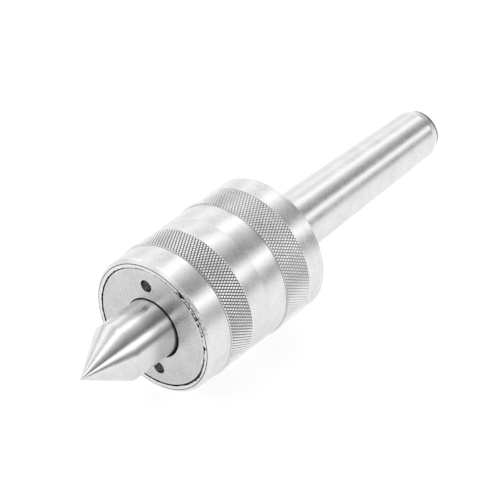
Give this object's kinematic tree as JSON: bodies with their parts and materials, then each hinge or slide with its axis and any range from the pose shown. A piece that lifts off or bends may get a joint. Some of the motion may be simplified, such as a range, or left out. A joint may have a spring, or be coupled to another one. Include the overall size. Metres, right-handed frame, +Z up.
{
  "type": "live center",
  "caption": "Lathe live center: 60 degree point turning on rolling bearings in a knurled round housing with a Morse taper 2 shank.",
  "frame": {"origin": "on the axis, in the gauge plane of the Morse taper, where the shank is 17.78 mm across", "axes": "+X along the axis from the shank to the 60 degree point, +Z up, +Y to the side"},
  "size_m": [0.15, 0.0424, 0.0424],
  "materials": {
    "turned_steel": "fine turned and knurled bare steel",
    "cap_steel": "faced, with concentric tool marks",
    "ground_steel": "ground bright",
    "bearing_steel": "polished bearing steel",
    "sheet_steel": "pressed sheet",
    "spring_steel": "black oxide",
    "seal_rubber": "matt black nitrile"
  },
  "bodies": {
    "housing_body": {"housing": "turned_steel", "front_cap": "cap_steel", "cap_seal": "seal_rubber", "front_bearing_outer_race": "bearing_steel", "front_bearing_front_shield": "sheet_steel", "front_bearing_rear_shield": "sheet_steel", "thrust_bearing_housing_washer": "bearing_steel", "needle_bearing_cup": "sheet_steel"},
    "spindle_body": {"spindle": "ground_steel", "spindle_circlip": "spring_steel", "front_bearing_inner_race": "bearing_steel", "thrust_bearing_shaft_washer": "bearing_steel"},
    "front_ball_set": {"front_bearing_cage": "sheet_steel", "front_bearing_ball_1": "bearing_steel", "front_bearing_ball_2": "bearing_steel", "front_bearing_ball_3": "bearing_steel", "front_bearing_ball_4": "bearing_steel", "front_bearing_ball_5": "bearing_steel", "front_bearing_ball_6": "bearing_steel", "front_bearing_ball_7": "bearing_steel", "front_bearing_ball_8": "bearing_steel"},
    "thrust_ball_set": {"thrust_bearing_cage": "sheet_steel", "thrust_bearing_ball_1": "bearing_steel", "thrust_bearing_ball_2": "bearing_steel", "thrust_bearing_ball_3": "bearing_steel", "thrust_bearing_ball_4": "bearing_steel", "thrust_bearing_ball_5": "bearing_steel", "thrust_bearing_ball_6": "bearing_steel", "thrust_bearing_ball_7": "bearing_steel", "thrust_bearing_ball_8": "bearing_steel", "thrust_bearing_ball_9": "bearing_steel", "thrust_bearing_ball_10": "bearing_steel"},
    "needle_set": {"needle_bearing_cage": "sheet_steel", "needle_bearing_roller_1": "bearing_steel", "needle_bearing_roller_2": "bearing_steel", "needle_bearing_roller_3": "bearing_steel", "needle_bearing_roller_4": "bearing_steel", "needle_bearing_roller_5": "bearing_steel", "needle_bearing_roller_6": "bearing_steel", "needle_bearing_roller_7": "bearing_steel", "needle_bearing_roller_8": "bearing_steel", "needle_bearing_roller_9": "bearing_steel", "needle_bearing_roller_10": "bearing_steel", "needle_bearing_roller_11": "bearing_steel", "needle_bearing_roller_12": "bearing_steel"}
  },
  "joints": [
    {"name": "spindle_spin", "type": "hinge", "parent": "housing_body", "child": "spindle_body", "pos_m": [0, 0, 0], "axis": [1, 0, 0], "continuous": true},
    {"name": "front_cage_spin", "type": "hinge", "parent": "housing_body", "child": "front_ball_set", "pos_m": [0, 0, 0], "axis": [1, 0, 0], "continuous": true},
    {"name": "thrust_cage_spin", "type": "hinge", "parent": "housing_body", "child": "thrust_ball_set", "pos_m": [0, 0, 0], "axis": [1, 0, 0], "continuous": true},
    {"name": "needle_cage_spin", "type": "hinge", "parent": "housing_body", "child": "needle_set", "pos_m": [0, 0, 0], "axis": [1, 0, 0], "continuous": true}
  ],
  "couplings": [
    {"joint": "front_cage_spin", "follows": "spindle_spin", "ratio": 0.38094},
    {"joint": "thrust_cage_spin", "follows": "spindle_spin", "ratio": 0.5},
    {"joint": "needle_cage_spin", "follows": "spindle_spin", "ratio": 0.43478}
  ]
}
